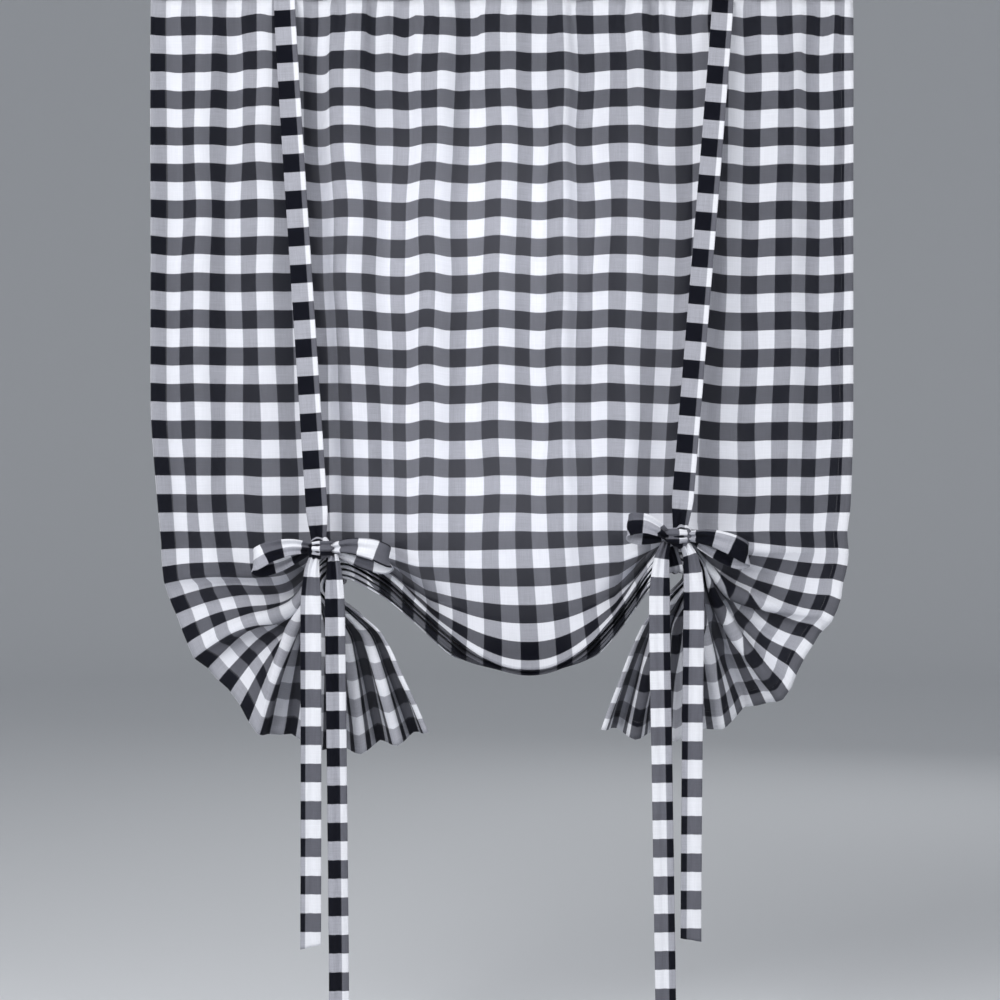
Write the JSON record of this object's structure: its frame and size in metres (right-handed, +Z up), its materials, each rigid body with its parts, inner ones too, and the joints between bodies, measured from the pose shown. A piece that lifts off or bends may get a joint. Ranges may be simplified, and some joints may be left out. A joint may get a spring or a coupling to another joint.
{
  "type": "window valance",
  "caption": "Tie-up window valance of gingham cloth: gathered rod pocket, fluted panel caught up into a centre swag between side fans, and bow ties with long hanging tails.",
  "frame": {"origin": "middle of the rod pocket's top edge", "axes": "+Z up, -Y towards the room so that the front faces -Y, +X to the right seen from the front"},
  "size_m": [0.8944, 0.1396, 1.356],
  "materials": {
    "panel_cloth": "matt plain-weave cotton blend with an even black and white check",
    "tie_cloth": "matt plain-weave cotton blend with an even black and white check"
  },
  "bodies": {
    "root": {"rod_pocket": "panel_cloth", "valance_panel": "panel_cloth", "tie_front_left": "tie_cloth", "tie_back_left": "tie_cloth", "tie_front_right": "tie_cloth", "tie_back_right": "tie_cloth"}
  },
  "joints": []
}
